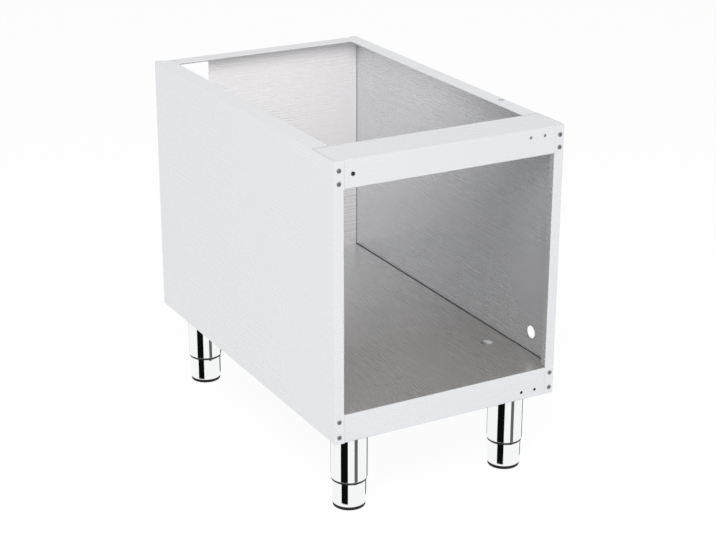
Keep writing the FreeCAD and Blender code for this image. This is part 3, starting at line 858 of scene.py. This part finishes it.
def studio_world(studio):
    """White to the camera and in mirror images, with a lower level for the light that it gives."""
    world = bpy.data.worlds.new("White studio")
    world.use_nodes = True
    tree = world.node_tree
    tree.nodes.clear()
    ray = add(tree, "ShaderNodeLightPath").outputs
    mirrored = add(tree, "ShaderNodeMath", {0: ray["Is Glossy Ray"], 1: ray["Is Transmission Ray"]},
                   operation="MAXIMUM")
    seen = add(tree, "ShaderNodeMath", {0: ray["Is Camera Ray"], 1: mirrored.outputs[0]},
               operation="MAXIMUM")
    fill = add(tree, "ShaderNodeBackground", {"Color": WHITE, "Strength": studio.fill_level})
    white = add(tree, "ShaderNodeBackground", {"Color": WHITE, "Strength": 1.0})
    mixed = add(tree, "ShaderNodeMixShader", {0: seen.outputs[0], 1: fill.outputs[0], 2: white.outputs[0]})
    add(tree, "ShaderNodeOutputWorld", {"Surface": mixed.outputs[0]})
    return world


def studio_floor(studio):
    """Plain pale floor that keeps the shadow, shows as white to the camera and is clear from below."""
    bm = bmesh.new()
    bmesh.ops.create_circle(bm, cap_ends=True, segments=RING_STEPS, radius=studio.floor_radius)
    mesh = bpy.data.meshes.new("studio_floor")
    bm.to_mesh(mesh)
    bm.free()
    floor = bpy.data.objects.new("studio_floor", mesh)
    bpy.context.scene.collection.objects.link(floor)
    floor.location.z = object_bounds()[0].z - MERGE_DISTANCE
    floor.visible_glossy = False
    material = bpy.data.materials.new("Pale matt floor")
    material.use_nodes = True
    tree = material.node_tree
    tree.nodes.clear()
    seen = add(tree, "ShaderNodeLightPath").outputs["Is Camera Ray"]
    white = add(tree, "ShaderNodeMath", {0: seen, 1: studio.floor_white}, operation="MULTIPLY")
    matt = add(tree, "ShaderNodeBsdfDiffuse", {"Color": studio.floor_colour})
    plain = add(tree, "ShaderNodeEmission", {"Color": WHITE, "Strength": 1.0})
    lit = add(tree, "ShaderNodeMixShader", {0: white.outputs[0], 1: matt.outputs[0], 2: plain.outputs[0]})
    below = add(tree, "ShaderNodeNewGeometry").outputs["Backfacing"]
    clear = add(tree, "ShaderNodeBsdfTransparent")
    sided = add(tree, "ShaderNodeMixShader", {0: below, 1: lit.outputs[0], 2: clear.outputs[0]})
    add(tree, "ShaderNodeOutputMaterial", {"Surface": sided.outputs[0]})
    mesh.materials.append(material)
    floor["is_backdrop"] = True


def area_lamp(name, side, energy, spot, aim):
    """Square lamp that lights without showing itself."""
    lamp = bpy.data.lights.new(name, "AREA")
    lamp.shape = "SQUARE"
    lamp.size = side
    lamp.energy = energy
    held = bpy.data.objects.new(name, lamp)
    held.location = spot
    held.rotation_mode = "QUATERNION"
    held.rotation_quaternion = (aim - spot).to_track_quat("-Z", "Y")
    held.visible_camera = False
    held.visible_glossy = False
    bpy.context.scene.collection.objects.link(held)


def studio_lamps(studio):
    """Large softbox overhead and a key light beside the camera."""
    # A lamp's energy is its brightness times pi and its area.
    area = studio.softbox_side ** 2
    area_lamp("Softbox", studio.softbox_side, studio.softbox_level * math.pi * area,
              UP * studio.softbox_height, Vector())
    low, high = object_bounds()
    middle = (low + high) / 2
    level = math.cos(studio.key_rise)
    out = Vector((-math.sin(studio.key_heading) * level, -math.cos(studio.key_heading) * level,
                  math.sin(studio.key_rise)))
    # A far face turned to a lamp gets the lamp's energy over the square of pi times the distance.
    area_lamp("Key light", studio.key_side, studio.key_level * (math.pi * studio.key_distance) ** 2,
              middle + out * studio.key_distance, middle)


def plain_card(name, colour):
    """Material that shows one colour in any light on its face and is clear from behind."""
    material = bpy.data.materials.new(name)
    material.use_nodes = True
    tree = material.node_tree
    tree.nodes.clear()
    shown = add(tree, "ShaderNodeEmission", {"Color": colour})
    behind = add(tree, "ShaderNodeNewGeometry").outputs["Backfacing"]
    clear = add(tree, "ShaderNodeBsdfTransparent")
    sided = add(tree, "ShaderNodeMixShader", {0: behind, 1: shown.outputs[0], 2: clear.outputs[0]})
    add(tree, "ShaderNodeOutputMaterial", {"Surface": sided.outputs[0]})
    return material


def studio_flags(studio):
    """Upright cards round each leg that only mirror images show, so that the polished legs stand out."""
    black = plain_card("Black card", studio.flag_colour)
    grey = plain_card("Grey card", studio.strip_colour)
    cards = ((studio.flag_heading, studio.flag_width, -studio.flag_sink, black),
             (studio.rim_heading, studio.rim_width, -studio.flag_sink, black),
             (studio.strip_heading, studio.strip_width, studio.strip_foot, grey),
             (studio.edge_heading, studio.edge_width, studio.strip_foot, grey))
    for leg in LEGS:
        for heading, width, foot, material in cards:
            bm = bmesh.new()
            first = bm.verts.new((0, -studio.flag_distance, foot))
            top = bm.verts.new((0, -studio.flag_distance, studio.flag_top))
            edge = bm.edges.new((first, top))
            bmesh.ops.rotate(bm, cent=(0, 0, 0), verts=bm.verts,
                             matrix=Matrix.Rotation(-heading - width, 3, UP))
            bmesh.ops.spin(bm, geom=[first, top, edge], axis=UP, angle=2 * width, steps=SMALL_RING_STEPS)
            bm.normal_update()
            outward = [face for face in bm.faces if face.normal.dot(face.calc_center_median()) > 0]
            bmesh.ops.reverse_faces(bm, faces=outward)
            stand(bm, "leg_tube_" + leg)
            mesh = bpy.data.meshes.new("leg_flag")
            bm.to_mesh(mesh)
            bm.free()
            mesh.materials.append(material)
            card = bpy.data.objects.new("leg_flag", mesh)
            bpy.context.scene.collection.objects.link(card)
            card.visible_camera = False
            card.visible_diffuse = False
            card.visible_transmission = False
            card.visible_shadow = False
            card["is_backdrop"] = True


def studio_camera(studio):
    """Camera at the photograph's angle."""
    data = bpy.data.cameras.new("Camera")
    data.lens = studio.camera_lens
    camera = bpy.data.objects.new("Camera", data)
    spot = Vector(studio.camera_place)
    camera.location = spot
    camera.rotation_mode = "QUATERNION"
    sight = (Vector(studio.camera_aim) - spot).to_track_quat("-Z", "Y")
    camera.rotation_quaternion = sight @ Quaternion(UP, studio.camera_roll)
    bpy.context.scene.collection.objects.link(camera)
    return camera


class CABINET_OT_studio(bpy.types.Operator):
    """Set up the white studio, the floor, the soft light and the camera"""
    bl_idname = "base_cabinet.studio"
    bl_label = "Studio"

    def execute(self, context):
        scene = context.scene
        studio = scene.cabinet_studio
        scene.view_settings.view_transform = "Standard"
        scene.world = studio_world(studio)
        studio_floor(studio)
        studio_lamps(studio)
        studio_flags(studio)
        scene.camera = studio_camera(studio)
        return {"FINISHED"}


# Add-on

GROUPS = {
    "cabinet_finishes": CabinetFinishes,
    "cabinet_legs": LegSizes,
    "cabinet_fasteners": FastenerSizes,
    "cabinet_studio": StudioSettings,
}

OPERATORS = (
    CABINET_OT_sheets,
    CABINET_OT_floor_joint_strips,
    CABINET_OT_leg_tubes,
    CABINET_OT_weld_beads,
    CABINET_OT_foot_barrels,
    CABINET_OT_foot_studs,
    CABINET_OT_foot_pads,
    CABINET_OT_rivets,
    CABINET_OT_leg_bolts,
    CABINET_OT_studio,
)


class CABINET_PT_panel(bpy.types.Panel):
    """Steps and settings of the cabinet"""
    bl_idname = "CABINET_PT_panel"
    bl_label = "Base cabinet"
    bl_space_type = "VIEW_3D"
    bl_region_type = "UI"
    bl_category = "Cabinet"

    def draw(self, context):
        for operator in OPERATORS:
            self.layout.operator(operator.bl_idname)
        for name, group in GROUPS.items():
            box = self.layout.box()
            for setting in group.__annotations__:
                box.prop(getattr(context.scene, name), setting)


def register():
    for cls in (*GROUPS.values(), *OPERATORS, CABINET_PT_panel):
        bpy.utils.register_class(cls)
    for name, group in GROUPS.items():
        setattr(bpy.types.Scene, name, PointerProperty(type=group))


def unregister():
    for name in GROUPS:
        delattr(bpy.types.Scene, name)
    for cls in (CABINET_PT_panel, *reversed(OPERATORS), *reversed(GROUPS.values())):
        bpy.utils.unregister_class(cls)


def main():
    """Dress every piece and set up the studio."""
    register()
    for operator in OPERATORS:
        family, step = operator.bl_idname.split(".")
        getattr(getattr(bpy.ops, family), step)()


if __name__ == "__main__":
    main()
